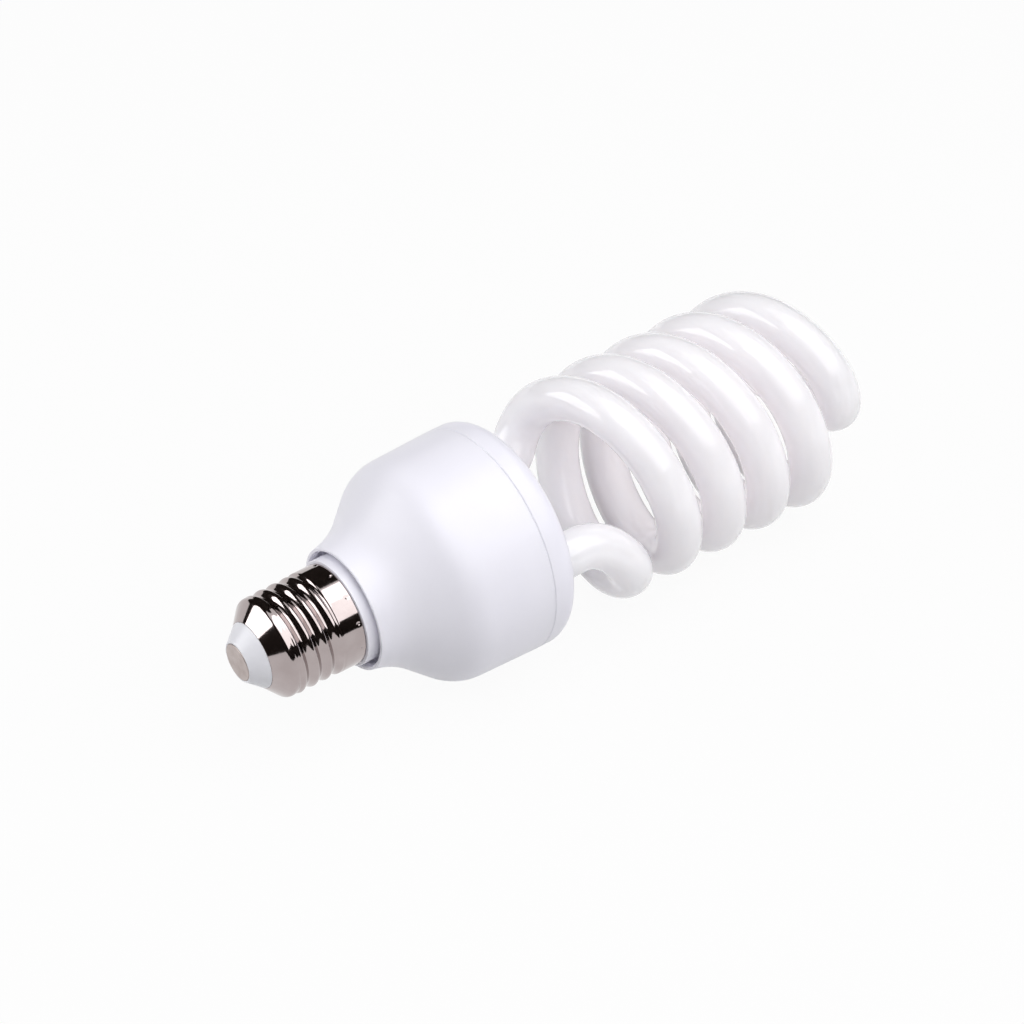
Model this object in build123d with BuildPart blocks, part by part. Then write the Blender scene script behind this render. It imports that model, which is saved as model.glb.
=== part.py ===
from build123d import *

import os
from math import atan2, cos, radians, sin, sqrt, tan

# Edison screw cap: lengths follow one another along the lamp's axis from the tip
contact_diameter = 9.6
contact_thickness = 0.8
contact_reveal = 0.2
shank_diameter = 3.0
shank_length = 7.2
nose_length = 4.2
nose_diameter = 17.3
nose_flat = 0.4
insulator_depth = 2.6
shoulder_length = 4.9
shoulder_drop = 1.1
shoulder_diameter = 25.8
shoulder_bend = 1.5
thread_diameter = 26.2
thread_root_diameter = 24.2
thread_pitch = 3.629
thread_turns = 3
thread_lead_in = 1.47
thread_run_out = 0.743
band_diameter = 26.4
band_length = 5.8
shell_sheet = 0.35
cap_fit = 0.05

# Base housing: collar under the shell, neck, flare and wall
collar_reveal = 2.4
collar_step = 0.7
collar_bore = 21.6
spigot_length = 4.8
recess_depth = 4.6
recess_gap = 1.4
lip_thickness = 0.8
lip_depth = 1.6
neck_taper = 1.3
neck_length = 6.6
neck_bend_reach = 5.89
flare_length = 13.4
body_bend_reach = 4.25
body_diameter = 60.0
wall_taper = 0.8
wall_length = 21.6
housing_wall = 1.5
seam_chamfer = 0.25
rib_count = 4
rib_thickness = 1.6
rib_depth = 3.4
rib_length = 12.0

# Tube cover: snap-on disc with two sockets
cover_height = 7.8
cover_edge = 4.5
cover_wall = 1.8
snap_thickness = 1.4
snap_fit = 0.1
socket_wall = 1.2
socket_length = 5.6
socket_gap = 0.25
cement_thickness = 0.8
cement_fit = 0.02

# Spiral tube: two legs, a right-handed double helix as wide as the body and a bridge across its end
tube_diameter = 11.5
leg_inset = 11.6
leg_angle = -4.7
leg_sink = 6.8
leg_reach = 6.9
leg_end_rounding = 1.5
elbow_rise = 16.8
elbow_angle = 40.7
coil_lead = 29.17
coil_turns = 2.25
bridge_rise = 3.5
bridge_angle = 44.0
bridge_reach = 15.0

# Ballast board and what stands on it
board_depth = 5.0
board_thickness = 1.6
board_gap = 0.6
lane_width = 7.6
part_gap = 1.4
choke_width = 22.0
choke_height = 18.0
choke_leg = 6.0
choke_side = 3.0
choke_yoke = 4.0
bobbin_depth = 15.0
bobbin_gap = 0.3
bobbin_wall = 0.8
bobbin_fit = 0.1
winding_inset = 0.6
can_diameter = 16.0
can_height = 24.0
can_groove = 0.5
can_foot = 1.8
can_neck = 1.0
transistor_width = 10.0
transistor_depth = 4.5
transistor_height = 9.0
transistor_tab = 6.0
transistor_tab_thickness = 1.3
transistor_tab_hole = 3.6
transistor_standoff = 4.0
transistor_leg = 0.8
transistor_leg_pitch = 2.54
toroid_diameter = 9.0
toroid_bore = 4.6
toroid_height = 5.0
film_width = 9.0
film_depth = 6.0
film_height = 11.0
film_rounding = 1.2
coupling_width = 6.4
coupling_depth = 7.0
coupling_height = 8.0
drum_diameter = 8.0
drum_core = 5.2
drum_height = 9.0
drum_flange = 1.4
thermistor_diameter = 5.5
thermistor_thickness = 2.5
diode_diameter = 2.7
diode_length = 5.2
resistor_diameter = 1.8
resistor_length = 3.4
fuse_diameter = 3.5
fuse_length = 8.6
diac_diameter = 2.0
diac_length = 4.0
axial_lead = 0.7
axial_reach = 1.3

# Wires
pin_side = 0.9
pin_length = 5.0
pin_inset = 8.4
pin_spread = 8.0
filament_lead = 0.5
filament_spread = 3.6
filament_drop = 2.0
wire_diameter = 1.0
wire_bend = 2.5
shell_wire_offset = 12.3
shell_wire_neck = 8.8

# Stations along the axis, measured from the tip
thread_start = nose_length + shoulder_length
first_crest = thread_start + thread_lead_in
last_crest = first_crest + thread_turns * thread_pitch
thread_end = last_crest + thread_run_out
shell_rim = thread_end + band_length
mouth = shell_rim + collar_reveal
neck_end = mouth + neck_length
flare_end = neck_end + flare_length
seam = flare_end + wall_length
cover_top = seam + cover_height
leg_bottom = cover_top - leg_sink
leg_top = cover_top + leg_reach
coil_start = leg_top + elbow_rise
coil_end = coil_start + coil_lead * coil_turns
bridge = coil_end + bridge_rise
board_low = seam - board_depth
board_top = board_low + board_thickness
recess_floor = mouth + recess_depth

# Radii worked out from the cap's band outwards and from the body inwards
tube_radius = tube_diameter / 2
band_radius = band_diameter / 2
collar_radius = band_radius + collar_step
neck_radius = collar_radius + recess_gap + lip_thickness
neck_end_radius = neck_radius + neck_taper
body_radius = body_diameter / 2
flare_radius = body_radius - wall_taper
coil_radius = body_radius - tube_radius
leg_offset = body_radius - leg_inset
lamp_length = bridge + tube_radius
tip = Vector(-lamp_length / 2, 0, body_radius)
lamp_axis = Axis(tip, (1, 0, 0))
leg_outwards = Vector(0, cos(radians(leg_angle)), sin(radians(leg_angle)))

# Half sections are drawn with the radius across and the station upwards
half_section = Plane(origin=tip, x_dir=(0, 0, 1), z_dir=(0, 1, 0))


def station(distance):
    """Cross-section plane at a distance from the tip, with +Y across and +Z up."""
    return Plane(origin=tip + Vector(distance, 0, 0), x_dir=(0, 1, 0), z_dir=(1, 0, 0))


def leg_section(distance):
    """Cross-section plane at a distance from the tip, with its X axis through both legs."""
    return Plane(origin=tip + Vector(distance, 0, 0), x_dir=leg_outwards, z_dir=(1, 0, 0))


def board_seat(across, up):
    """Plane on the board's component side, facing the cap."""
    origin = tip + Vector(board_low, -across, up)
    return Plane(origin=origin, x_dir=(0, -1, 0), z_dir=(-1, 0, 0))


# Nail-head contact, its head sunk into the insulator
with BuildPart() as centre_contact:
    with BuildSketch(station(0)):
        Circle(contact_diameter / 2)
    extrude(amount=contact_thickness)
    fillet(edges().group_by(Axis.X)[0], contact_thickness / 3)
    with BuildSketch(station(contact_thickness)):
        Circle(shank_diameter / 2)
    extrude(amount=shank_length)

# The shell's sheet runs from its small end up the shoulder to the bend
nose = Vector(nose_diameter / 2, nose_length)
shoulder_top = Vector(shoulder_diameter / 2, thread_start - shoulder_drop)
up_shoulder = (shoulder_top - nose).normalized()
into_cap = Vector(-up_shoulder.Y, up_shoulder.X)


def shoulder_line(inset):
    """Edge of the shoulder's sheet, moved inwards by the inset, at both its ends."""
    start = nose + into_cap * inset
    turn = start + up_shoulder * ((shoulder_diameter / 2 - inset - start.X) / up_shoulder.X)
    return start, turn


insulator_start, insulator_turn = shoulder_line(shell_sheet + cap_fit)
insulator_back = nose_length + insulator_depth
insulator_side = insulator_start + up_shoulder * ((insulator_back - insulator_start.Y) / up_shoulder.Y)

# Moulded insulator: a cone with a pocket for the contact, a seat for the shell's shoulder inside
with BuildPart() as cap_insulator:
    with BuildSketch(half_section):
        with BuildLine():
            Polyline(
                insulator_side,
                insulator_start,
                nose - up_shoulder * cap_fit,
                (contact_diameter / 2 + nose_flat, contact_reveal),
                (contact_diameter / 2 + cap_fit, contact_reveal),
                (contact_diameter / 2 + cap_fit, contact_thickness),
                (shank_diameter / 2 + cap_fit, contact_thickness),
                (shank_diameter / 2 + cap_fit, insulator_back),
                close=True,
            )
        make_face()
    revolve(axis=lamp_axis)


def shell_line(inset):
    """One side of the drawn sheet from nose to rim, moved inwards by the inset, and its two ends."""
    start, turn = shoulder_line(inset)
    shoulder_end = (shoulder_diameter / 2 - inset, thread_start)
    shoulder = FilletPolyline(start, turn, shoulder_end, radius=shoulder_bend - inset)
    crest = thread_diameter / 2 - inset
    root = thread_root_diameter / 2 - inset
    middle = (crest + root) / 2
    quarter = thread_pitch / 4
    Line(shoulder_end, (middle, first_crest - quarter))
    for ridge in range(thread_turns):
        top = first_crest + ridge * thread_pitch
        ThreePointArc((middle, top - quarter), (crest, top), (middle, top + quarter))
        hollow = ThreePointArc(
            (middle, top + quarter), (root, top + 2 * quarter), (middle, top + 3 * quarter)
        )
    TangentArc(hollow @ 1, (crest, last_crest), tangent=hollow % 1)
    rim = (band_radius - inset, shell_rim)
    Polyline((crest, last_crest), (band_radius - inset, thread_end), rim)
    return start, rim


# Screw shell: drawn shoulder, rolled ridges of the thread and plain band, all of one sheet
with BuildPart() as screw_shell:
    with BuildSketch(half_section):
        with BuildLine():
            outer_nose, outer_rim = shell_line(0)
            inner_nose, inner_rim = shell_line(shell_sheet)
            Line(outer_nose, inner_nose)
            Line(outer_rim, inner_rim)
        make_face()
    revolve(axis=lamp_axis)


# Each bend of the housing takes a fixed reach of the straight runs beside it
neck_slope = atan2(neck_taper, neck_length)
flare_slope = atan2(flare_radius - neck_end_radius, flare_length)
wall_slope = atan2(wall_taper, wall_length)
neck_bend = neck_bend_reach / tan((flare_slope - neck_slope) / 2)
body_bend = body_bend_reach / tan((flare_slope - wall_slope) / 2)


def housing_line(inset):
    """Outside of the neck, flare and wall as one rounded line, moved inwards by the inset."""
    return FilletPolyline(
        (neck_radius - inset, mouth),
        (neck_end_radius - inset, neck_end),
        (flare_radius - inset, flare_end),
        (body_radius - inset, seam),
        radius=(neck_bend + inset, body_bend - inset),
    )


def wall_inside(distance):
    """Inner radius of the tapered wall at a distance from the tip."""
    return body_radius - housing_wall - tan(wall_slope) * (seam - distance)


spigot_radius = band_radius - shell_sheet - cap_fit
web_radius = neck_radius + tan(neck_slope) * recess_depth - housing_wall / 2
rib_reach = wall_inside(board_low) - rib_depth

# Base housing: thin skirt, collar and spigot for the shell, ribs for the board
with BuildPart() as base_housing:
    with BuildSketch(half_section):
        with BuildLine():
            outside = housing_line(0)
            inside = housing_line(housing_wall)
            Line(outside @ 1, inside @ 1)
            Line(outside @ 0, inside @ 0)
        make_face()
        with BuildLine():
            Polyline(
                (neck_radius - lip_thickness, mouth),
                (neck_radius - housing_wall, mouth),
                (neck_radius - housing_wall, mouth + lip_depth),
                close=True,
            )
        make_face(mode=Mode.SUBTRACT)
    revolve(axis=lamp_axis)
    chamfer(edges().filter_by(GeomType.CIRCLE).group_by(Axis.X)[-1].sort_by(SortBy.RADIUS)[-1], seam_chamfer)
    with BuildSketch(half_section):
        with BuildLine():
            Polyline(
                (collar_bore / 2, shell_rim - spigot_length),
                (spigot_radius, shell_rim - spigot_length),
                (spigot_radius, shell_rim + cap_fit),
                (collar_radius, shell_rim + cap_fit),
                (collar_radius, recess_floor),
                (web_radius, recess_floor),
                (web_radius, recess_floor + housing_wall),
                (collar_bore / 2, recess_floor + housing_wall),
                close=True,
            )
        make_face()
    revolve(axis=lamp_axis)
    with BuildSketch(station(board_low)):
        with PolarLocations(rib_reach, rib_count, start_angle=180 / rib_count):
            Rectangle(rib_depth + housing_wall / 2, rib_thickness, align=(Align.MIN, Align.CENTER))
    extrude(amount=-rib_length)

snap_radius = wall_inside(board_top) - snap_fit
socket_radius = tube_radius + cement_thickness

# Tube cover: rounded disc, snap skirt that holds the board down, two sockets
with BuildPart() as tube_cover:
    with BuildSketch(station(seam)):
        Circle(body_radius)
    extrude(amount=cover_height)
    fillet(edges().group_by(Axis.X)[-1], cover_edge)
    chamfer(edges().group_by(Axis.X)[0], seam_chamfer)
    with BuildSketch(station(seam)):
        Circle(snap_radius - snap_thickness)
    extrude(amount=cover_height - cover_wall, mode=Mode.SUBTRACT)
    fillet(faces().filter_by(Axis.X).sort_by(Axis.X)[-2].outer_wire().edges(), cover_edge - cover_wall)
    with BuildSketch(station(board_top + snap_fit)):
        Circle(snap_radius)
        Circle(snap_radius - snap_thickness, mode=Mode.SUBTRACT)
    extrude(amount=seam - board_top - snap_fit)
    with BuildSketch(leg_section(cover_top - cover_wall)):
        with PolarLocations(leg_offset, 2):
            Circle(socket_radius + socket_wall)
    extrude(amount=-socket_length)
    with BuildSketch(leg_section(cover_top - cover_wall)):
        with PolarLocations(leg_offset, 2):
            Circle(socket_radius)
    extrude(amount=-socket_length, mode=Mode.SUBTRACT)
    with BuildSketch(leg_section(cover_top)):
        with PolarLocations(leg_offset, 2):
            Circle(tube_radius + socket_gap)
    extrude(amount=-cover_wall, mode=Mode.SUBTRACT)

# Cement rings that hold the legs in their sockets
with BuildPart() as tube_cement:
    with BuildSketch(leg_section(leg_bottom)):
        with PolarLocations(leg_offset, 2):
            Circle(socket_radius - cement_fit)
            Circle(tube_radius + cement_fit, mode=Mode.SUBTRACT)
    extrude(amount=cover_top - cover_wall - leg_bottom)


def biarc(start, start_direction, end, end_direction):
    """Two arcs that leave the start and reach the end in the directions given."""
    chord = end - start
    along = chord.dot(start_direction + end_direction)
    spread = 2 * (1 - start_direction.dot(end_direction))
    reach = (sqrt(along**2 + spread * chord.dot(chord)) - along) / spread
    middle = (start + end + (start_direction - end_direction) * reach) / 2
    first = TangentArc(start, middle, tangent=start_direction)
    TangentArc(middle, end, tangent=first % 1)


# One arm runs from its leg up the helix to the middle of the bridge, and a half turn gives the other
leg_line = tip + leg_outwards * leg_offset
along_axis = Vector(1, 0, 0)
start_angle = radians(leg_angle + elbow_angle)
end_angle = start_angle + radians(360 * coil_turns + bridge_angle)
coil_outwards = Vector(0, cos(start_angle), sin(start_angle))
bridge_outwards = Vector(0, cos(end_angle), sin(end_angle))
bridge_middle = tip + Vector(bridge, 0, 0)
bridge_end = bridge_middle + bridge_outwards * bridge_reach

coil_plane = Plane(tip + along_axis * coil_start, x_dir=coil_outwards, z_dir=along_axis)
coil = (coil_plane * Helix(coil_lead, coil_lead * coil_turns, coil_radius)).edge()

with BuildPart() as spiral_tube:
    with BuildLine() as arm:
        leg = Line(leg_line + along_axis * leg_bottom, leg_line + along_axis * leg_top)
        biarc(leg @ 1, along_axis, coil @ 0, coil % 0)
        add(coil)
        biarc(coil @ 1, coil % 1, bridge_end, -bridge_outwards)
        Line(bridge_end, bridge_middle)
    with BuildSketch(Plane(leg @ 0, z_dir=along_axis)):
        Circle(tube_radius)
    sweep(path=arm.wire())
    fillet(edges().group_by(Axis.X)[0], leg_end_rounding)
    add(spiral_tube.part.rotate(lamp_axis, 180))

# Round board on the housing's ribs
board_radius = wall_inside(board_low) - board_gap
with BuildPart() as circuit_board:
    with BuildSketch(station(board_low)):
        Circle(board_radius)
    extrude(amount=board_thickness)

# The heavy choke stands below the middle lane, the capacitor above it
choke_up = -lane_width / 2 - part_gap - bobbin_depth / 2
can_up = lane_width / 2 + can_diameter / 2
window_width = (choke_width - choke_leg) / 2 - choke_side
window_height = choke_height - 2 * choke_yoke
choke_seat = board_seat(0, choke_up)
choke_face = Plane(choke_seat.origin, x_dir=choke_seat.x_dir, z_dir=(0, 0, -1))

with BuildPart() as choke_core:
    with BuildSketch(choke_face):
        Rectangle(choke_width, choke_height, align=(Align.CENTER, Align.MIN))
        with Locations((0, choke_height / 2)):
            with GridLocations(choke_leg + window_width, 0, 2, 1):
                Rectangle(window_width, window_height, mode=Mode.SUBTRACT)
    extrude(amount=choke_leg / 2, both=True)

bobbin_width = choke_width - 2 * (choke_side + bobbin_gap)
bobbin_height = window_height - 2 * bobbin_fit
bobbin_foot = choke_yoke + bobbin_fit
bobbin_bore = choke_leg + 2 * bobbin_fit
bobbin_tube = bobbin_bore + 2 * bobbin_wall
bobbin_head = bobbin_foot + bobbin_height - bobbin_wall
with BuildPart() as choke_bobbin:
    with BuildSketch(choke_seat.offset(bobbin_foot), choke_seat.offset(bobbin_head)):
        Rectangle(bobbin_width, bobbin_depth)
    extrude(amount=bobbin_wall)
    with BuildSketch(choke_seat.offset(bobbin_foot)):
        Rectangle(bobbin_tube, bobbin_tube)
    extrude(amount=bobbin_height)
    with BuildSketch(choke_seat.offset(bobbin_foot)):
        Rectangle(bobbin_bore, bobbin_bore)
    extrude(amount=bobbin_height, mode=Mode.SUBTRACT)

with BuildPart() as choke_winding:
    with BuildSketch(choke_seat.offset(bobbin_foot + bobbin_wall + bobbin_fit)):
        RectangleRounded(bobbin_width - winding_inset, bobbin_depth - winding_inset, choke_side)
        Rectangle(bobbin_tube + 2 * bobbin_fit, bobbin_tube + 2 * bobbin_fit, mode=Mode.SUBTRACT)
    extrude(amount=bobbin_height - 2 * bobbin_wall - 2 * bobbin_fit)

# Electrolytic can with its rolled groove
can_seat = board_seat(0, can_up)
with BuildPart() as bulk_capacitor:
    height = 0
    for length, inset in ((can_foot, 0), (can_neck, can_groove), (can_height - can_foot - can_neck, 0)):
        with BuildSketch(can_seat.offset(height)):
            Circle(can_diameter / 2 - inset)
        extrude(amount=length)
        height += length
    fillet(edges().group_by(Axis.X)[0], can_groove)

# Power transistors, one each side of the choke
transistor_across = choke_width / 2 + 2 * part_gap + transistor_depth
transistors = {}
for name, side in (("transistor_upper", 1), ("transistor_lower", -1)):
    seat = board_seat(side * transistor_across, 0)
    with BuildPart() as transistor:
        with BuildSketch(seat):
            with GridLocations(0, transistor_leg_pitch, 1, 3):
                Rectangle(transistor_leg, transistor_leg)
        extrude(amount=transistor_standoff)
        with BuildSketch(seat.offset(transistor_standoff)):
            Rectangle(transistor_depth, transistor_width)
        extrude(amount=transistor_height)
        with BuildSketch(seat.offset(transistor_standoff + transistor_height)):
            with Locations((side * (transistor_depth - transistor_tab_thickness) / 2, 0)):
                Rectangle(transistor_tab_thickness, transistor_width)
        extrude(amount=transistor_tab)
        tab_height = transistor_standoff + transistor_height + transistor_tab / 2
        with BuildSketch(Plane(seat.offset(tab_height).origin, x_dir=(0, 0, 1), z_dir=(0, 1, 0))):
            Circle(transistor_tab_hole / 2)
        extrude(amount=transistor_depth, both=True, mode=Mode.SUBTRACT)
    transistors[name] = transistor

# Ring core of the base drive, beside the can
beside_can = can_diameter / 2 + part_gap
above_lane = lane_width / 2 + 2 * part_gap
toroid_across = -beside_can - thermistor_thickness - part_gap / 4 - toroid_diameter / 2
toroid_up = above_lane + toroid_diameter / 2
with BuildPart() as drive_toroid:
    with BuildSketch(board_seat(toroid_across, toroid_up)):
        Circle(toroid_diameter / 2)
        Circle(toroid_bore / 2, mode=Mode.SUBTRACT)
    extrude(amount=toroid_height)
    chamfer(edges().group_by(Axis.X)[0], axial_lead)

# Dipped film capacitors
film_across = beside_can + film_width / 2
film_up = above_lane + film_depth / 2
with BuildPart() as resonant_capacitor:
    with BuildSketch(board_seat(film_across, film_up)):
        RectangleRounded(film_width, film_depth, film_rounding)
    extrude(amount=film_height)
    fillet(edges().group_by(Axis.X)[0], film_rounding / 2)

beside_choke = choke_width / 2 + part_gap
below_transistor = -transistor_width / 2 - part_gap
with BuildPart() as coupling_capacitor:
    with BuildSketch(board_seat(-beside_choke - coupling_width / 2, below_transistor - coupling_depth / 2)):
        RectangleRounded(coupling_width, coupling_depth, film_rounding)
    extrude(amount=coupling_height)
    fillet(edges().group_by(Axis.X)[0], film_rounding / 2)

# Drum-core line inductor
drum_seat = board_seat(beside_choke + drum_diameter / 2, below_transistor - drum_diameter / 2)
with BuildPart() as line_inductor:
    with BuildSketch(drum_seat, drum_seat.offset(drum_height - drum_flange)):
        Circle(drum_diameter / 2)
    extrude(amount=drum_flange)
    with BuildSketch(drum_seat):
        Circle(drum_core / 2)
    extrude(amount=drum_height)


def axial_part(across, up, diameter, length):
    """A body lying on the board, with its two leads bent down to it."""
    seat = board_seat(across, up)
    side_view = Plane(seat.origin, x_dir=seat.x_dir, z_dir=(0, 0, -1))
    middle = seat.offset(diameter / 2).origin
    with BuildPart() as piece:
        with BuildSketch(Plane(middle, z_dir=seat.x_dir)):
            Circle(diameter / 2)
        extrude(amount=length / 2, both=True)
        for end in (-1, 1):
            foot = end * (length / 2 + axial_reach)
            with BuildLine(side_view) as lead:
                Polyline((end * length / 2, diameter / 2), (foot, diameter / 2), (foot, 0))
            with BuildSketch(Plane(lead.wire() @ 0, z_dir=lead.wire() % 0)):
                Circle(axial_lead / 2)
            sweep(path=lead.wire(), transition=Transition.RIGHT)
    return piece.part


# Small parts in the lane between choke and can, and round the can
diode_across = diode_length / 2 + axial_reach + wire_diameter + part_gap
diode_up = (lane_width - diode_diameter) / 2
diodes = [
    axial_part(across, up, diode_diameter, diode_length)
    for across in (-diode_across, diode_across)
    for up in (-diode_up, diode_up - part_gap / 2)
]
with BuildPart() as rectifier_diodes:
    add(diodes)

resistor_across = beside_can + resistor_length / 2
resistor_up = toroid_up + (toroid_diameter + resistor_diameter) / 2 + part_gap
resistors = [
    axial_part(across, resistor_up, resistor_diameter, resistor_length)
    for across in (-resistor_across, resistor_across)
]
with BuildPart() as bias_resistors:
    add(resistors)

fuse_up = can_up + can_diameter / 2 + part_gap / 2 + fuse_diameter / 2
fuse_body = axial_part(0, fuse_up, fuse_diameter, fuse_length)
with BuildPart() as fuse_resistor:
    add(fuse_body)

# Starting diode and thermistor, each side of the can
diac_across = beside_can + diac_length / 2 + axial_reach
diac_body = axial_part(diac_across, lane_width / 2 + diac_diameter / 2, diac_diameter, diac_length)
with BuildPart() as diac:
    add(diac_body)

thermistor_up = (lane_width + thermistor_diameter) / 2
thermistor_seat = board_seat(-beside_can - thermistor_thickness / 2, thermistor_up)
with BuildPart() as thermistor:
    with BuildSketch(Plane(thermistor_seat.offset(thermistor_diameter / 2).origin, z_dir=(0, 1, 0))):
        Circle(thermistor_diameter / 2)
    extrude(amount=thermistor_thickness / 2, both=True)

# Wrap pins on the tube's side of the board, between the sockets
pin_offset = leg_offset - pin_inset
with BuildPart() as board_pins:
    with BuildSketch(leg_section(board_top)):
        with GridLocations(2 * pin_offset, pin_spread, 2, 2):
            Rectangle(pin_side, pin_side)
    extrude(amount=pin_length)

# Filament leads from the legs' sealed ends to the pins
seal = leg_section(leg_bottom)
with BuildPart() as filament_leads:
    for side in (-1, 1):
        for edge in (-1, 1):
            start = seal.from_local_coords((side * leg_offset, edge * filament_spread / 2, 0))
            corner = start - along_axis * filament_drop
            pin_face = side * (pin_offset + pin_side / 2 + filament_lead / 2)
            end = seal.from_local_coords((pin_face, edge * pin_spread / 2, -filament_drop))
            with BuildLine() as lead:
                Polyline(start, corner, end)
            with BuildSketch(Plane(start, z_dir=lead.wire() % 0)):
                Circle(filament_lead / 2)
            sweep(path=lead.wire(), transition=Transition.RIGHT)

# Straight lead from the board to the contact's shank
shank_end = contact_thickness + shank_length
with BuildPart() as contact_lead:
    with BuildSketch(station(shank_end)):
        Circle(wire_diameter / 2)
    extrude(amount=board_low - shank_end)

# Bent lead from the board through the collar to the shell
root_bore = thread_root_diameter / 2 - shell_sheet
wire_turn = shell_rim - spigot_length - wire_bend
with BuildPart() as shell_lead:
    with BuildLine() as lead:
        FilletPolyline(
            tip + Vector(board_low, shell_wire_offset, 0),
            tip + Vector(flare_end, shell_wire_offset, 0),
            tip + Vector(neck_end, shell_wire_neck, 0),
            tip + Vector(wire_turn, shell_wire_neck, 0),
            tip + Vector(wire_turn, root_bore - cap_fit, 0),
            radius=wire_bend,
        )
    with BuildSketch(Plane(lead.wire() @ 0, z_dir=lead.wire() % 0)):
        Circle(wire_diameter / 2)
    sweep(path=lead.wire())

pieces = {
    "centre_contact": centre_contact,
    "cap_insulator": cap_insulator,
    "screw_shell": screw_shell,
    "base_housing": base_housing,
    "tube_cover": tube_cover,
    "tube_cement": tube_cement,
    "spiral_tube": spiral_tube,
    "circuit_board": circuit_board,
    "choke_core": choke_core,
    "choke_bobbin": choke_bobbin,
    "choke_winding": choke_winding,
    "bulk_capacitor": bulk_capacitor,
    "drive_toroid": drive_toroid,
    "resonant_capacitor": resonant_capacitor,
    "coupling_capacitor": coupling_capacitor,
    "line_inductor": line_inductor,
    "rectifier_diodes": rectifier_diodes,
    "bias_resistors": bias_resistors,
    "fuse_resistor": fuse_resistor,
    "diac": diac,
    "thermistor": thermistor,
    "board_pins": board_pins,
    "filament_leads": filament_leads,
    "contact_lead": contact_lead,
    "shell_lead": shell_lead,
}
pieces.update(transistors)

os.makedirs("parts", exist_ok=True)
for name, piece in pieces.items():
    piece.part.label = name
    export_step(piece.part, f"parts/{name}.step")
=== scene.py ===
from math import radians

import bmesh
import bpy
import numpy as np
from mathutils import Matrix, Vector


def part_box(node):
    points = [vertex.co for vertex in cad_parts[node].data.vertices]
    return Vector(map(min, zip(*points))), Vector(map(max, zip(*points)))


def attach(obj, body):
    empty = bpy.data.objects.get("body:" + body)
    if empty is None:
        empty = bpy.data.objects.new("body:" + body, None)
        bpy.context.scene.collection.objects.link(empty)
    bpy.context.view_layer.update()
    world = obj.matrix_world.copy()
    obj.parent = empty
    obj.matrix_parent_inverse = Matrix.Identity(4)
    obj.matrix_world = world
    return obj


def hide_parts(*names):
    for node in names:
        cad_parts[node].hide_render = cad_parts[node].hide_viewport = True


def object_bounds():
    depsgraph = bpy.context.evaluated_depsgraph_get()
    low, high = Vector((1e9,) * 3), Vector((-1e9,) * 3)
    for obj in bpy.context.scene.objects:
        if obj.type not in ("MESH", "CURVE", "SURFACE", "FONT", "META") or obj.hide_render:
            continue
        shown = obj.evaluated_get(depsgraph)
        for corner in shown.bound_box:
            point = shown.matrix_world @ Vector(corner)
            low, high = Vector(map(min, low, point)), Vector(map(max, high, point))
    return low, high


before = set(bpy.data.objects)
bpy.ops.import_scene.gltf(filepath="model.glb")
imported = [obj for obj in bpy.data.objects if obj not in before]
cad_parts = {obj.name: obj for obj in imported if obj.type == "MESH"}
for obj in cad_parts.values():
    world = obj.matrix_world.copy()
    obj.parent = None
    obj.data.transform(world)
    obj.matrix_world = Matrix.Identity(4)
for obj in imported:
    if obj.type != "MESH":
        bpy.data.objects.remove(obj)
cad_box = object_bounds()

# Ballast parts
# A round laminate board with its choke, capacitors, transistors and wires, soldered together and
# closed in by the housing. They are drawn as the solids are, and each group has its own finish.
# A row gives a finish's name, its solids, a dark and a light colour, its roughness and its metal share.
ballast_finishes = [
    ("brown_laminate", ["circuit_board"], (0.30, 0.17, 0.07), (0.40, 0.24, 0.10), 0.55, 0.0),
    ("sintered_ferrite", ["choke_core", "drive_toroid", "line_inductor"],
     (0.05, 0.05, 0.055), (0.09, 0.09, 0.095), 0.5, 0.0),
    ("black_bobbin", ["choke_bobbin"], (0.02, 0.02, 0.02), (0.04, 0.04, 0.04), 0.45, 0.0),
    ("enamelled_copper", ["choke_winding"], (0.55, 0.20, 0.07), (0.72, 0.33, 0.14), 0.3, 1.0),
    ("blue_sleeve", ["bulk_capacitor"], (0.02, 0.03, 0.10), (0.03, 0.05, 0.16), 0.3, 0.0),
    ("dipped_coat", ["resonant_capacitor", "coupling_capacitor"],
     (0.28, 0.05, 0.02), (0.38, 0.09, 0.03), 0.25, 0.0),
    ("black_epoxy", ["transistor_upper", "transistor_lower", "rectifier_diodes", "diac"],
     (0.015, 0.015, 0.017), (0.03, 0.03, 0.033), 0.6, 0.0),
    ("beige_lacquer", ["bias_resistors", "fuse_resistor", "thermistor"],
     (0.42, 0.30, 0.16), (0.52, 0.39, 0.22), 0.5, 0.0),
    ("tinned_wire", ["board_pins", "filament_leads"], (0.55, 0.54, 0.50), (0.70, 0.69, 0.66), 0.3, 1.0),
    ("pale_sleeve", ["contact_lead", "shell_lead"], (0.58, 0.56, 0.50), (0.66, 0.64, 0.59), 0.4, 0.0),
    ("dry_cement", ["tube_cement"], (0.52, 0.50, 0.44), (0.66, 0.64, 0.58), 0.9, 0.0),
]
speckle = 0.0012


def new_finish(name, colour, roughness, metallic=0.0):
    """A material whose even values stand on its shader's own sockets, and that shader."""
    material = bpy.data.materials.new(name)
    material.use_nodes = True
    shader = material.node_tree.nodes["Principled BSDF"]
    shader.inputs["Base Color"].default_value = (*colour, 1.0)
    shader.inputs["Roughness"].default_value = roughness
    shader.inputs["Metallic"].default_value = metallic
    return material, shader


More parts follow.
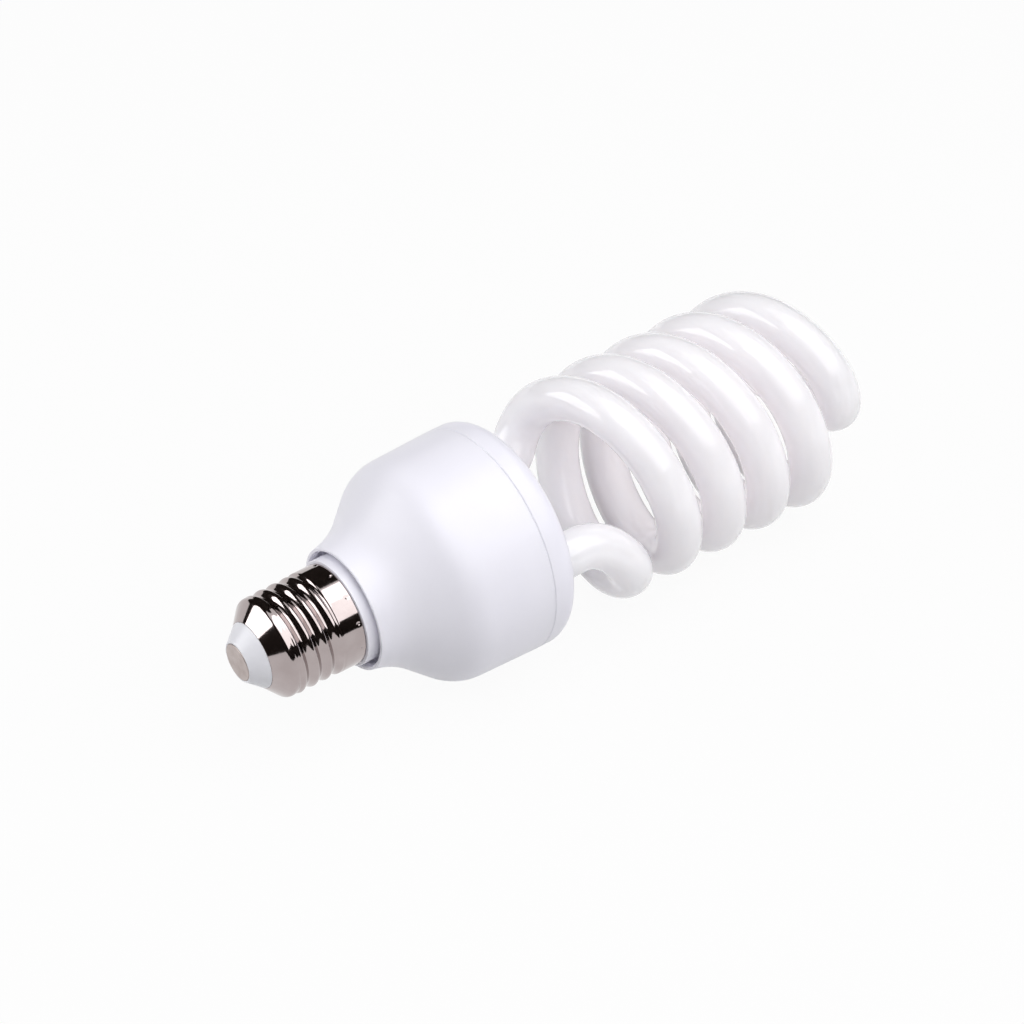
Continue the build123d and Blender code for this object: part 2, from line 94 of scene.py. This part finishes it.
def cloud(material, size, stretch=(1, 1, 1), detail=3.0):
    """Noise from 0 to 1 on the piece's own coordinates, in lumps of the given size in metres."""
    nodes, links = material.node_tree.nodes, material.node_tree.links
    coordinates = nodes.new("ShaderNodeTexCoord")
    mapping = nodes.new("ShaderNodeMapping")
    mapping.inputs["Scale"].default_value = stretch
    noise = nodes.new("ShaderNodeTexNoise")
    noise.inputs["Scale"].default_value = 1 / size
    noise.inputs["Detail"].default_value = detail
    links.new(coordinates.outputs["Object"], mapping.inputs["Vector"])
    links.new(mapping.outputs["Vector"], noise.inputs["Vector"])
    return noise.outputs["Fac"]


def tint(material, shader, share, dark, light):
    """Lets the base colour run from dark to light as the share runs through its middle third."""
    ramp = material.node_tree.nodes.new("ShaderNodeValToRGB")
    low, high = ramp.color_ramp.elements
    low.position, low.color = 0.33, (*dark, 1.0)
    high.position, high.color = 0.67, (*light, 1.0)
    material.node_tree.links.new(share, ramp.inputs["Fac"])
    material.node_tree.links.new(ramp.outputs["Color"], shader.inputs["Base Color"])


def roughen(material, shader, share, smooth, rough):
    """Lets the roughness run from smooth to rough with the share."""
    spread = material.node_tree.nodes.new("ShaderNodeMapRange")
    spread.inputs["To Min"].default_value = smooth
    spread.inputs["To Max"].default_value = rough
    material.node_tree.links.new(share, spread.inputs["Value"])
    material.node_tree.links.new(spread.outputs["Result"], shader.inputs["Roughness"])


def emboss(material, shader, share, height):
    """Raises fine relief: the share times a height in metres."""
    bump = material.node_tree.nodes.new("ShaderNodeBump")
    bump.inputs["Distance"].default_value = height
    material.node_tree.links.new(share, bump.inputs["Height"])
    material.node_tree.links.new(bump.outputs["Normal"], shader.inputs["Normal"])


for name, nodes, dark, light, roughness, metallic in ballast_finishes:
    finish, shader = new_finish(name, dark, roughness, metallic)
    tint(finish, shader, cloud(finish, speckle), dark, light)
    for node in nodes:
        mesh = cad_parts[node].data
        mesh.materials.clear()
        mesh.materials.append(finish)

# Base housing
# A white moulded skirt that flares from a thin lip to the width of the coil. Its collar and spigot
# carry the screw shell, and the tool's fine etching leaves it satin.
mm = 0.001
tip_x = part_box("centre_contact")[0].x
axis_z = (cad_box[0][2] + cad_box[1][2]) / 2
spigot_end = 23.2
shell_rim = 28.0
collar_start = 28.05
mouth = 30.4
lip_foot = 32.0
recess_floor = 35.0
web_back = 36.5
neck_end = 37.0
inside_bend = 41.2
flare_end = 50.4
seam = 72.0
collar_bore = 10.8
spigot_radius = 12.8
collar_radius = 13.9
lip_foot_radius = 14.95
lip_inside = 15.3
neck_radius = 16.1
neck_inside = 16.75
neck_end_radius = 17.4
inside_bend_radius = 19.6
flare_radius = 29.2
body_radius = 30.0
housing_wall = 1.5
seam_chamfer = 0.25
neck_rounding = 21.8
inside_rounding = 12.0
body_rounding = 11.9
# Each corner has its distance from the axis, its station from the tip and its rounding, in millimetres.
housing_outline = [
    ((neck_radius, mouth), 0.22),
    ((neck_end_radius, neck_end), neck_rounding),
    ((flare_radius, flare_end), body_rounding),
    ((body_radius, seam - seam_chamfer), 0.06),
    ((body_radius - seam_chamfer, seam), 0.06),
    ((body_radius - housing_wall, seam), 0.1),
    ((flare_radius - housing_wall, flare_end), body_rounding - housing_wall),
    ((inside_bend_radius, inside_bend), inside_rounding),
    ((neck_inside, web_back), 0.4),
    ((collar_bore, web_back), 0.3),
    ((collar_bore, spigot_end), 0.2),
    ((spigot_radius, spigot_end), 0.2),
    ((spigot_radius, collar_start), 0.05),
    ((collar_radius, collar_start), 0.2),
    ((collar_radius, recess_floor), 0.3),
    ((neck_radius, recess_floor), 0.3),
    ((lip_foot_radius, lip_foot), 1.5),
    ((lip_inside, mouth), 0.2),
]


def rounded_line(corners, radii, steps=10):
    """Points along straight runs with rounded corners: each corner gives way to an arc that touches
    both its runs, and the arc's points are the two touching points' spokes mixed by sines."""
    corners = np.asarray(corners, float)
    share = np.linspace(0, 1, steps)[:, None]
    pieces = [corners[:1]]
    for before, corner, after, radius in zip(corners, corners[1:], corners[2:], radii):
        back = (before - corner) / np.linalg.norm(before - corner)
        ahead = (after - corner) / np.linalg.norm(after - corner)
        half = np.arccos(back @ ahead) / 2
        turn = np.pi - 2 * half
        centre = corner + (back + ahead) / np.linalg.norm(back + ahead) * radius / np.sin(half)
        first = corner + back * radius / np.tan(half) - centre
        last = corner + ahead * radius / np.tan(half) - centre
        spokes = np.sin((1 - share) * turn) * first + np.sin(share * turn) * last
        pieces.append(centre + spokes / np.sin(turn))
    return np.vstack(pieces + [corners[-1:]])


def closed_outline(outline, steps=10):
    """A rounded outline that starts and ends halfway between its last and first corners."""
    corners = [corner for corner, _ in outline]
    start = (np.array(corners[0]) + corners[-1]) / 2
    rounding = [radius for _, radius in outline]
    return rounded_line([start, *corners, start], rounding, steps)[:-1]


def turned(outline, columns=192, start=0.0):
    """Points of a turned shape: each radius and station of the outline is carried round the lamp's
    axis, its height the sine and its breadth the cosine of the angle."""
    radius, distance = outline.T[:, :, None] * mm
    angle = radians(start) + np.linspace(0, 2 * np.pi, columns, endpoint=False)
    coordinates = (tip_x + distance, radius * np.cos(angle), axis_z + radius * np.sin(angle))
    return np.stack(np.broadcast_arrays(*coordinates), axis=-1)


def skin(name, *grids, ring=False):
    """A mesh of quads: in each grid a point joins the next in its row and in its column, and the last
    column joins the first, as the last row does in a ring. Points that coincide become one."""
    points, quads, count = [], [], 0
    for grid in grids:
        index = count + np.arange(grid.shape[0] * grid.shape[1]).reshape(grid.shape[:2])
        index = np.vstack([index, index[:1]]) if ring else index
        index = np.hstack([index, index[:, :1]])
        sides = (index[:-1, :-1], index[:-1, 1:], index[1:, 1:], index[1:, :-1])
        points.append(grid.reshape(-1, 3))
        quads.append(np.stack(sides, axis=-1).reshape(-1, 4))
        count += len(points[-1])
    mesh = bpy.data.meshes.new(name)
    mesh.from_pydata(np.vstack(points), [], np.vstack(quads))
    cleaner = bmesh.new()
    cleaner.from_mesh(mesh)
    bmesh.ops.remove_doubles(cleaner, verts=cleaner.verts, dist=1e-7)
    bmesh.ops.recalc_face_normals(cleaner, faces=cleaner.faces)
    cleaner.to_mesh(mesh)
    cleaner.free()
    mesh.shade_smooth()
    mesh.set_sharp_from_angle(angle=radians(40))
    return mesh


def place(mesh, finish):
    """Puts a mesh into the scene at the origin, with its finish."""
    mesh.materials.append(finish)
    piece = bpy.data.objects.new(mesh.name, mesh)
    bpy.context.scene.collection.objects.link(piece)
    return piece


housing_dark = (0.80, 0.79, 0.865)
housing_light = (0.83, 0.82, 0.895)
housing_plastic, shader = new_finish("satin_white_plastic", housing_light, 0.36)
shader.inputs["Subsurface Weight"].default_value = 0.3
shader.inputs["Subsurface Radius"].default_value = (1, 1, 1)
shader.inputs["Subsurface Scale"].default_value = 0.002
tint(housing_plastic, shader, cloud(housing_plastic, 0.03), housing_dark, housing_light)
roughen(housing_plastic, shader, cloud(housing_plastic, 0.008), 0.32, 0.42)
emboss(housing_plastic, shader, cloud(housing_plastic, 0.00025, detail=1.0), 0.000004)

housing_surface = turned(closed_outline(housing_outline))
housing = place(skin("moulded_housing", housing_surface, ring=True), housing_plastic)
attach(housing, "root")
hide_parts("base_housing")

# Screw shell
# Thin brass sheet, drawn to a cup, rolled to the knuckle thread and nickel plated. A ring of small
# punch marks near its rim stakes it to the housing's spigot.
nose_length = 4.2
shoulder_end = 8.0
thread_start = 9.1
thread_rises = (8.9, 10.3)
first_root = 10.2
last_root = 21.3
thread_falls = (21.2, 22.4)
band_start = 22.3
nose_radius = 8.65
nose_inside = 8.4
shoulder_radius = 12.9
thread_radius = 12.6
band_radius = 13.2
thread_pitch = 3.629
thread_depth = 1.0
crest_angle = 31.6
shell_sheet = 0.35
stake_count = 12
stake_station = 27.0
stake_angle = 3.0
stake_depth = 0.2
stake_spread = 0.27
shell_outline = [
    ((nose_radius, nose_length), 0.1),
    ((shoulder_radius, shoulder_end), 1.5),
    ((shoulder_radius, thread_start), 1.0),
    ((thread_radius, first_root), 2.0),
    ((thread_radius, last_root), 1.0),
    ((band_radius, band_start), 1.0),
    ((band_radius, shell_rim), 0.12),
]
shell_inside_rounding = [0.12, 1.0, 1.0, 2.0, 1.0, 1.1, 0.05]


def lengths_along(line):
    """How far along the line each of its points lies: the sum of the chords before it."""
    return np.concatenate([[0], np.cumsum(np.linalg.norm(np.diff(line, axis=0), axis=1))])


def points_along(line, places):
    """Points at the given lengths along the line, on the chords between its own points."""
    return np.stack([np.interp(places, lengths_along(line), column) for column in line.T], axis=1)


def refine(line, step):
    """The line with extra points between its own, so that none are further apart than the step."""
    length = lengths_along(line)
    return points_along(line, np.union1d(length, np.arange(0, length[-1], step)))


def ease(value, low, high):
    """Rises from 0 at low to 1 at high along a curve that is level at both ends."""
    share = np.clip((value - low) / (high - low), 0, 1)
    return share * share * (3 - 2 * share)


def rolled_sheet(outline, columns=440):
    """A turned sheet with a thread and punch marks: a cosine wave that turns once for each pitch is
    added to the radius and eased in and out, and each mark takes a bell-shaped dent from it."""
    radius, distance = outline.T[:, :, None]
    angle = np.linspace(0, 2 * np.pi, columns, endpoint=False)[None, :]
    crest = radians(crest_angle) + 2 * np.pi * (distance - thread_start) / thread_pitch
    swell = ease(distance, *thread_rises) * (1 - ease(distance, *thread_falls))
    gap = 2 * np.pi / stake_count
    across = (angle - radians(stake_angle) + gap / 2) % gap - gap / 2
    off_mark = (across * radius) ** 2 + (distance - stake_station) ** 2
    dent = stake_depth * np.exp(-off_mark / (2 * stake_spread**2))
    radius = (radius + swell * thread_depth / 2 * np.cos(angle - crest) - dent) * mm
    coordinates = (tip_x + distance * mm, radius * np.cos(angle), axis_z + radius * np.sin(angle))
    return np.stack(np.broadcast_arrays(*coordinates), axis=-1)


shell_corners = [corner for corner, _ in shell_outline]
shell_rounding = [rounding for _, rounding in shell_outline]
shell_rim_middle = (band_radius - shell_sheet / 2, shell_rim)
shell_nose_middle = (nose_radius - shell_sheet / 3, nose_length + shell_sheet / 3)
shell_outside = rounded_line([shell_nose_middle, *shell_corners, shell_rim_middle], shell_rounding, 8)
shell_inside = [(radius - shell_sheet, distance) for radius, distance in shell_corners]
shell_inside[0] = (nose_inside, nose_length + shell_sheet * 0.7)
shell_inside = [shell_rim_middle, *shell_inside[::-1], shell_nose_middle]
shell_inside = rounded_line(shell_inside, shell_inside_rounding, 4)
shell_grid = np.vstack([refine(shell_outside, 0.25)[:-1], refine(shell_inside, 1.5)[:-1]])

nickel_dark = (0.40, 0.345, 0.34)
nickel_light = (0.45, 0.395, 0.39)
nickel_plate, shader = new_finish("bright_nickel", nickel_light, 0.07, metallic=1.0)
tint(nickel_plate, shader, cloud(nickel_plate, 0.006), nickel_dark, nickel_light)
roughen(nickel_plate, shader, cloud(nickel_plate, 0.002, detail=6.0), 0.04, 0.12)
emboss(nickel_plate, shader, cloud(nickel_plate, 0.0015, detail=2.0), 0.000006)

shell = place(skin("rolled_screw_shell", rolled_sheet(shell_grid), ring=True), nickel_plate)
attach(shell, "root")
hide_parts("screw_shell")

# Cap insulator
# A white moulded cone that fills the shell's small end and keeps the centre contact apart from it.
# It is pressed in under the shell's edge, and its surface is smooth and slightly cool in tone.
contact_radius = 4.8
contact_thickness = 0.8
shank_radius = 1.5
contact_fit = 0.05
insulator_top = 0.2
insulator_top_radius = 5.2
cone_end = 4.16
cone_end_radius = 8.6
shell_seat = 4.5
shell_seat_radius = 8.32
insulator_back = 6.8
insulator_back_radius = 10.95
insulator_outline = [
    ((shank_radius + contact_fit, contact_thickness), 0.1),
    ((contact_radius + contact_fit, contact_thickness), 0.05),
    ((contact_radius + contact_fit, insulator_top), 0.1),
    ((insulator_top_radius, insulator_top), 0.15),
    ((cone_end_radius, cone_end), 0.08),
    ((shell_seat_radius, shell_seat), 0.05),
    ((insulator_back_radius, insulator_back), 0.3),
    ((shank_radius + contact_fit, insulator_back), 0.1),
]
insulator_colour = (0.74, 0.74, 0.785)
insulator_dark = (0.725, 0.725, 0.77)
insulator_light = (0.755, 0.755, 0.80)
insulator_white, shader = new_finish("white_insulator", insulator_colour, 0.3)
tint(insulator_white, shader, cloud(insulator_white, 0.004), insulator_dark, insulator_light)
emboss(insulator_white, shader, cloud(insulator_white, 0.0008), 0.000005)

insulator_surface = turned(closed_outline(insulator_outline))
insulator = place(skin("cone_insulator", insulator_surface, ring=True), insulator_white)
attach(insulator, "root")
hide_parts("cap_insulator")

# Centre contact
# A nail with a flat round head, plated and left satin, pressed through the insulator. Its face is
# finely scuffed by lamp holders.
shank_end = 8.0
contact_corners = [
    (0, 0),
    (contact_radius, 0),
    (contact_radius, contact_thickness),
    (shank_radius, contact_thickness),
    (shank_radius, shank_end),
    (0, shank_end),
]
contact_rounding = [0.27, 0.1, 0.1, 0.3]
contact_colour = (0.475, 0.41, 0.39)
contact_dark = (0.42, 0.355, 0.335)
contact_light = (0.53, 0.465, 0.445)
contact_metal, shader = new_finish("satin_contact", contact_colour, 0.38, metallic=1.0)
tint(contact_metal, shader, cloud(contact_metal, 0.0025, detail=5.0), contact_dark, contact_light)
roughen(contact_metal, shader, cloud(contact_metal, 0.001, (1, 6, 1), 5.0), 0.28, 0.5)
emboss(contact_metal, shader, cloud(contact_metal, 0.0006, (1, 5, 1), 4.0), 0.00001)

contact_surface = turned(rounded_line(contact_corners, contact_rounding, 6), 96)
contact = place(skin("nail_contact", contact_surface), contact_metal)
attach(contact, "root")
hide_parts("centre_contact")

# Tube cover
# A white moulded disc with a rounded edge that snaps into the housing's wall. Two sockets in it hold
# the legs of the tube in cement, and a fine groove shows where it meets the housing.
cover_top = 79.8
cover_edge = 4.5
plate_back = 78.0
plate_radius = 25.45
skirt_radius = 28.27
skirt_wall = 1.4
skirt_inside = skirt_radius - skirt_wall
skirt_end = 68.7
tube_radius = 5.75
leg_offset = 18.4
leg_angle = -4.7
hole_gap = 0.25
hole_radius = tube_radius + hole_gap
hole_lead_in = 0.5
cement_thickness = 0.8
socket_wall = 1.2
socket_radius = tube_radius + cement_thickness
socket_outside = socket_radius + socket_wall
socket_root = 78.2
socket_end = 72.4
cover_outline = [
    ((body_radius, cover_top), cover_edge),
    ((body_radius, seam + seam_chamfer), 0.06),
    ((body_radius - seam_chamfer, seam), 0.06),
    ((skirt_radius, seam), 0.1),
    ((skirt_radius, skirt_end), 0.2),
    ((skirt_inside, skirt_end), 0.2),
    ((skirt_inside, plate_back), 1.35),
]
socket_outline = [
    ((socket_radius, socket_root), 0.05),
    ((socket_radius, socket_end), 0.2),
    ((socket_outside, socket_end), 0.2),
    ((socket_outside, socket_root), 0.05),
]


def half_plate(side, columns=192, straight=60):
    """One half of the cover's plate with its hole: circles about the leg, each point straight
    towards a point on the half disc's rim, and that rim itself as the first and the last row."""
    round_angle = np.linspace(-np.pi / 2, np.pi / 2, columns // 2 + 1)
    arc = plate_radius * np.stack([np.cos(round_angle), np.sin(round_angle)], axis=1)
    height = np.linspace(plate_radius, -plate_radius, straight)[1:-1]
    rim = np.vstack([arc, np.stack([np.zeros(straight - 2), height], axis=1)]) - (leg_offset, 0)
    outwards = rim / np.linalg.norm(rim, axis=1)[:, None]
    corners = [(hole_radius + hole_lead_in, cover_top), (hole_radius, cover_top)]
    corners += [(radius, plate_back) for radius, _ in corners[::-1]]
    line = rounded_line(corners, [0.2, 0.1], 6)
    flat = np.concatenate([rim[None], line[:, :1, None] * outwards, rim[None]])
    distance = np.concatenate([[cover_top], line[:, 1], [plate_back]])[:, None]
    ahead, aside = side * (leg_offset + flat[..., 0]) * mm, side * flat[..., 1] * mm
    cosine, sine = np.cos(radians(leg_angle)), np.sin(radians(leg_angle))
    across, up = cosine * ahead - sine * aside, axis_z + sine * ahead + cosine * aside
    return np.stack(np.broadcast_arrays(tip_x + distance * mm, across, up), axis=-1)


def outward(angle):
    """Unit vector square to the lamp's axis, at an angle in degrees from across towards up."""
    return np.array([0, np.cos(radians(angle)), np.sin(radians(angle))])


cover_corners = [corner for corner, _ in cover_outline]
cover_corners = [(plate_radius, cover_top), *cover_corners, (plate_radius, plate_back)]
cover_rounding = [rounding for _, rounding in cover_outline]
cover_ring = turned(rounded_line(cover_corners, cover_rounding, 16), start=leg_angle)
socket_line = closed_outline(socket_outline, 6)
socket = turned(np.vstack([socket_line, socket_line[:1]]), 96)
to_leg = leg_offset * mm * outward(leg_angle)
cover_grids = (cover_ring, half_plate(1), half_plate(-1), socket + to_leg, socket - to_leg)
cover = place(skin("snap_cover", *cover_grids), housing_plastic)
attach(cover, "root")
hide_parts("tube_cover")

# Spiral tube
# One clear glass tube, bent hot round a mandrel from its middle into two arms of a double helix and
# coated white inside. The glass keeps its polish, so lights show on it sharp and long.
leg_bottom = 73.0
leg_top = 86.7
leg_rounding = 1.5
coil_start = 103.5
coil_radius = 24.25
coil_lead = 29.17
coil_turns = 2.25
coil_angle = 36.0
bridge_rise = 3.5
bridge_station = coil_start + coil_lead * coil_turns + bridge_rise
bridge_angle = 44.0
bridge_reach = 15.0
path_step = 0.9


def tangent_arc(start, way, end, count=120):
    """Points on the arc that leaves start along way and passes through end: its radius is the chord
    over twice the sine of the angle between chord and way."""
    chord = end - start
    length = np.linalg.norm(chord)
    half = np.arccos(chord @ way / length)
    inwards = chord - (chord @ way) * way
    inwards = inwards / np.linalg.norm(inwards)
    turn = np.linspace(0, 2 * half, count)[:, None]
    return start + length / (2 * np.sin(half)) * (np.sin(turn) * way + (1 - np.cos(turn)) * inwards)


def biarc(start, start_way, end, end_way):
    """Two arcs that leave start and reach end in the ways given. They meet halfway between the tips
    of two equal tangents, whose length makes the tips twice that length apart."""
    chord = end - start
    along = chord @ (start_way + end_way)
    spread = 2 * (1 - start_way @ end_way)
    reach = (np.sqrt(along**2 + spread * (chord @ chord)) - along) / spread
    joint = (start + end + (start_way - end_way) * reach) / 2
    first, last = tangent_arc(start, start_way, joint), tangent_arc(end, -end_way, joint)
    return np.vstack([first, last[::-1][1:]])


def arm_line(count=3000):
    """Centre line of one arm from its leg to the bridge's middle, with stations along the first axis:
    a straight leg, an elbow of two arcs, a helix, two arcs inwards and half the bridge."""
    along = np.array([1.0, 0, 0])
    angle = coil_angle + np.linspace(0, 360 * coil_turns, count)
    turn = np.radians(angle)
    rise = coil_start + coil_lead * (angle - coil_angle) / 360
    helix = np.stack([rise, coil_radius * np.cos(turn), coil_radius * np.sin(turn)], axis=1)
    first_way = (helix[1] - helix[0]) / np.linalg.norm(helix[1] - helix[0])
    last_way = (helix[-1] - helix[-2]) / np.linalg.norm(helix[-1] - helix[-2])
    bridge_way = outward(angle[-1] + bridge_angle)
    leg_line = leg_offset * outward(leg_angle)
    bridge_end = bridge_station * along + bridge_reach * bridge_way
    leg_end = leg_bottom * along + leg_line
    elbow = biarc(leg_top * along + leg_line, along, helix[0], first_way)
    turn_in = biarc(helix[-1], last_way, bridge_end, -bridge_way)
    return np.vstack([leg_end, elbow, helix[1:], turn_in[1:], bridge_station * along])


def carried_circle(columns=92):
    """The tube's surface: a circle square to the centre line at every step along both arms. Its
    radius shrinks at the legs' ends by a quarter circle and then to a point."""
    fine_line = arm_line()
    length = lengths_along(fine_line)[-1]
    arm = points_along(fine_line, np.linspace(0, length, round(length / path_step) + 1))
    line = np.vstack([arm, (arm * (1, -1, -1))[-2::-1]])
    way = np.gradient(line, axis=0)
    way = way / np.linalg.norm(way, axis=1)[:, None]
    first_arm = np.arange(len(line)) < len(arm)
    side = np.where(first_arm, 1, -1)[:, None] * np.cross(way, line * (0, 1, 1))
    past_elbow = line[:, 0] > coil_start + coil_lead / 2
    side = np.where(past_elbow[:, None], way[:, :1] * way - (1, 0, 0), side)
    side = side / np.linalg.norm(side, axis=1)[:, None]
    up = np.cross(side, way)
    depth = np.clip(leg_rounding - (line[:, 0] - leg_bottom), 0, leg_rounding)
    radius = tube_radius - leg_rounding + np.sqrt(leg_rounding**2 - depth**2)
    angle = np.linspace(0, 2 * np.pi, columns, endpoint=False)[:, None]
    ring = np.cos(angle) * up[:, None] + np.sin(angle) * side[:, None]
    surface = line[:, None] + radius[:, None, None] * ring
    ends = np.broadcast_to(line[[0, -1], None], (2, columns, 3))
    surface = np.concatenate([ends[:1], surface, ends[1:]])
    return surface * mm + (tip_x, 0, axis_z)


glass_dark = (0.815, 0.793, 0.836)
glass_light = (0.84, 0.818, 0.861)
coated_glass, shader = new_finish("coated_white_glass", glass_light, 0.02)
shader.inputs["Subsurface Weight"].default_value = 1.0
shader.inputs["Subsurface Radius"].default_value = (1, 0.95, 0.92)
shader.inputs["Subsurface Scale"].default_value = 0.021
tint(coated_glass, shader, cloud(coated_glass, 0.02), glass_dark, glass_light)
roughen(coated_glass, shader, cloud(coated_glass, 0.004), 0.01, 0.03)
emboss(coated_glass, shader, cloud(coated_glass, 0.006, detail=1.0), 0.00002)

tube = place(skin("coiled_glass_tube", carried_circle()), coated_glass)
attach(tube, "root")
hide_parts("spiral_tube")

# Studio
# A plain white floor under two large soft lights and two fills that leave no reflection. The dark room
# round them shows only in the gloss. Small lamps on the axis stand for what the thin glass lets into
# the coil.
floor_half = 6.0
floor_white = (0.65, 0.65, 0.65)
floor_glow = 0.94
ambient = 0.02
surround_dark = (0.07, 0.056, 0.05)
surround_radius = 1.6
surround_top = 62.0
surround_rows = 12
surround_columns = 48
glow_stations = (122, 136, 150, 162)
glow_power = 0.0031
glow_colour = (1.0, 0.95, 0.89)
glow_radius = 0.012
lamp_middle = np.array([-0.03, 0, 0.03])


def seen_share(tree):
    """1 for rays from the camera and for mirrored or refracted ones, 0 for those that only light."""
    path = tree.nodes.new("ShaderNodeLightPath")
    glossy = tree.nodes.new("ShaderNodeMath")
    glossy.operation = "MAXIMUM"
    every = tree.nodes.new("ShaderNodeMath")
    every.operation = "MAXIMUM"
    tree.links.new(path.outputs["Is Camera Ray"], glossy.inputs[0])
    tree.links.new(path.outputs["Is Glossy Ray"], glossy.inputs[1])
    tree.links.new(glossy.outputs["Value"], every.inputs[0])
    tree.links.new(path.outputs["Is Transmission Ray"], every.inputs[1])
    return every.outputs["Value"]


floor_finish, shader = new_finish("white_floor", floor_white, 1.0)
shader.inputs["Specular IOR Level"].default_value = 0.0
tree = floor_finish.node_tree
glow = tree.nodes.new("ShaderNodeEmission")
dim = tree.nodes.new("ShaderNodeMath")
dim.operation = "MULTIPLY"
dim.inputs[1].default_value = floor_glow
mix = tree.nodes.new("ShaderNodeMixShader")
tree.links.new(seen_share(tree), dim.inputs[0])
tree.links.new(dim.outputs["Value"], mix.inputs["Fac"])
tree.links.new(shader.outputs["BSDF"], mix.inputs[1])
tree.links.new(glow.outputs["Emission"], mix.inputs[2])
tree.links.new(mix.outputs["Shader"], tree.nodes["Material Output"].inputs["Surface"])
floor_mesh = bpy.data.meshes.new("studio_floor")
floor_corners = floor_half * np.array([(-1, -1, 0), (1, -1, 0), (1, 1, 0), (-1, 1, 0)])
floor_mesh.from_pydata(floor_corners, [], [(0, 1, 2, 3)])
place(floor_mesh, floor_finish)

world = bpy.data.worlds.new("studio")
world.use_nodes = True
tree = world.node_tree
fill = tree.nodes["Background"]
fill.inputs["Color"].default_value = (1, 1, 1, 1)
fill.inputs["Strength"].default_value = ambient
white = tree.nodes.new("ShaderNodeBackground")
white.inputs["Color"].default_value = (1, 1, 1, 1)
mix = tree.nodes.new("ShaderNodeMixShader")
tree.links.new(seen_share(tree), mix.inputs["Fac"])
tree.links.new(fill.outputs["Background"], mix.inputs[1])
tree.links.new(white.outputs["Background"], mix.inputs[2])
tree.links.new(mix.outputs["Shader"], tree.nodes["World Output"].inputs["Surface"])
bpy.context.scene.world = world


def facing(direction, distance):
    """A turn and a place for something at a distance from the lamp that looks back at it."""
    direction = np.array(direction) / np.linalg.norm(direction)
    back = Vector((-direction).tolist())
    return back.to_track_quat("-Z", "Y"), lamp_middle + direction * distance


# A row gives a light's name, its direction and distance from the lamp, its width and height in metres,
# its brightness and whether it shows in the gloss.
soft_lights = [
    ("key_light", (0.126, -0.44, 0.89), 0.8, 1.2, 1.16, 2.25, True),
    ("rim_light", (-0.78, 0.505, 0.375), 0.8, 0.63, 0.43, 3.7, True),
    ("back_fill", (0.25, 0.62, 0.74), 1.2, 1.4, 1.2, 0.5, False),
    ("end_fill", (0.6, -0.72, 0.35), 1.2, 1.0, 0.8, 0.85, False),
]
for name, direction, distance, width, height, brightness, shows in soft_lights:
    light = bpy.data.lights.new(name, "AREA")
    light.shape = "RECTANGLE"
    light.size, light.size_y = width, height
    light.energy = brightness * np.pi * width * height
    lamp = bpy.data.objects.new(name, light)
    turn, spot = facing(direction, distance)
    lamp.rotation_mode = "QUATERNION"
    lamp.rotation_quaternion = turn
    lamp.location = spot
    lamp.visible_camera = False
    lamp.visible_glossy = shows
    bpy.context.scene.collection.objects.link(lamp)

for distance in glow_stations:
    light = bpy.data.lights.new("coil_glow", "POINT")
    light.energy = glow_power
    light.color = glow_colour
    light.shadow_soft_size = glow_radius
    lamp = bpy.data.objects.new("coil_glow", light)
    lamp.location = (tip_x + distance * mm, 0, axis_z)
    lamp.visible_camera = False
    lamp.visible_glossy = False
    bpy.context.scene.collection.objects.link(lamp)

surround_finish, shader = new_finish("dark_surround", surround_dark, 1.0)
shader.inputs["Specular IOR Level"].default_value = 0.0
azimuth = np.linspace(0, 2 * np.pi, surround_columns, endpoint=False)[None, :]
elevation = np.radians(np.linspace(0, surround_top, surround_rows))[:, None]
surround_shape = np.stack(np.broadcast_arrays(
    np.cos(elevation) * np.cos(azimuth), np.cos(elevation) * np.sin(azimuth), np.sin(elevation)
), axis=-1)
surround = place(skin("dark_surround", surround_radius * surround_shape), surround_finish)
surround.visible_camera = False
surround.visible_diffuse = False
surround.visible_transmission = False
surround.visible_shadow = False

# Camera
# It looks down on the lamp from the cap's end, as far off and through as long a lens as the
# picture's perspective asks for.
camera_offset = np.array([-0.2359, -0.4173, 0.4595])
camera_elevation = 40.97
camera_turn = -37.25
lens = 98.44
sensor = 36.0
camera_data = bpy.data.cameras.new("camera")
camera_data.lens = lens
camera_data.sensor_width = sensor
camera = bpy.data.objects.new("camera", camera_data)
camera.location = np.array([tip_x, 0, axis_z]) + camera_offset
camera.rotation_euler = (radians(90 - camera_elevation), 0, radians(camera_turn))
bpy.context.scene.collection.objects.link(camera)
bpy.context.scene.camera = camera
bpy.context.scene.view_settings.view_transform = "Standard"
